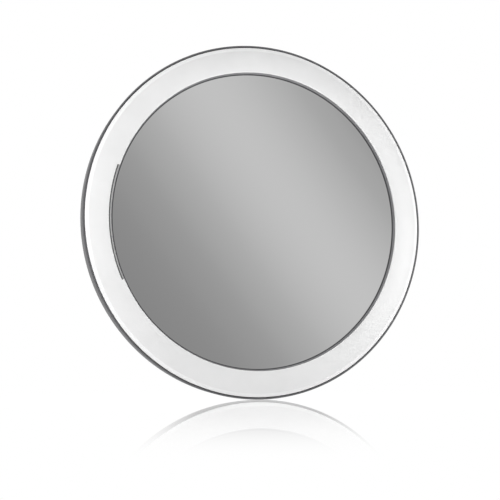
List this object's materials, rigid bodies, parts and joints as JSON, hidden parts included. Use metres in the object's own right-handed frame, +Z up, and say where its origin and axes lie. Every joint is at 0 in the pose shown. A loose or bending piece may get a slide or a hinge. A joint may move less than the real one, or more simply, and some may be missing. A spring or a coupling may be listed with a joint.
{
  "type": "wall mirror",
  "caption": "Round concave magnifying mirror in a white bezel ring and grey dish, held to a wall by suction cups on keyhole pins.",
  "frame": {"origin": "centre of the suction plane, on the axis of the mirror, in the plane of the three cup rims", "axes": "+Y into the wall, so the mirror faces -Y; +X to the user's right; +Z up"},
  "size_m": [0.15, 0.0308, 0.15],
  "materials": {
    "grey_housing": "satin moulded plastic",
    "opal_acrylic": "satin opal acrylic",
    "silvered_glass": "silvered",
    "gasket_rubber": "matt",
    "foam": "closed-cell foam",
    "pin_nylon": "natural moulded nylon",
    "clear_vinyl": "clear soft vinyl"
  },
  "bodies": {
    "head": {"rear_housing": "grey_housing", "bezel_ring": "opal_acrylic", "mirror_glass": "silvered_glass", "glass_gasket": "gasket_rubber", "foam_pad_upper_right": "foam", "foam_pad_upper_left": "foam", "foam_pad_bottom": "foam"},
    "pin_top": {"cup_pin_top": "pin_nylon"},
    "cup_top": {"suction_cup_top": "clear_vinyl"},
    "pin_left": {"cup_pin_left": "pin_nylon"},
    "cup_left": {"suction_cup_left": "clear_vinyl"},
    "pin_right": {"cup_pin_right": "pin_nylon"},
    "cup_right": {"suction_cup_right": "clear_vinyl"}
  },
  "joints": [
    {"name": "keyhole_slide_top", "type": "slide", "parent": "head", "child": "pin_top", "axis": [0, 0, -1], "range_m": [0, 0.009]},
    {"name": "cup_turn_top", "type": "hinge", "parent": "pin_top", "child": "cup_top", "pos_m": [0, 0, 0.038], "axis": [0, 1, 0], "continuous": true},
    {"name": "keyhole_slide_left", "type": "slide", "parent": "head", "child": "pin_left", "axis": [0, 0, -1], "range_m": [0, 0.009]},
    {"name": "cup_turn_left", "type": "hinge", "parent": "pin_left", "child": "cup_left", "pos_m": [-0.03291, 0, -0.019], "axis": [0, 1, 0], "continuous": true},
    {"name": "keyhole_slide_right", "type": "slide", "parent": "head", "child": "pin_right", "axis": [0, 0, -1], "range_m": [0, 0.009]},
    {"name": "cup_turn_right", "type": "hinge", "parent": "pin_right", "child": "cup_right", "pos_m": [0.03291, 0, -0.019], "axis": [0, 1, 0], "continuous": true}
  ]
}
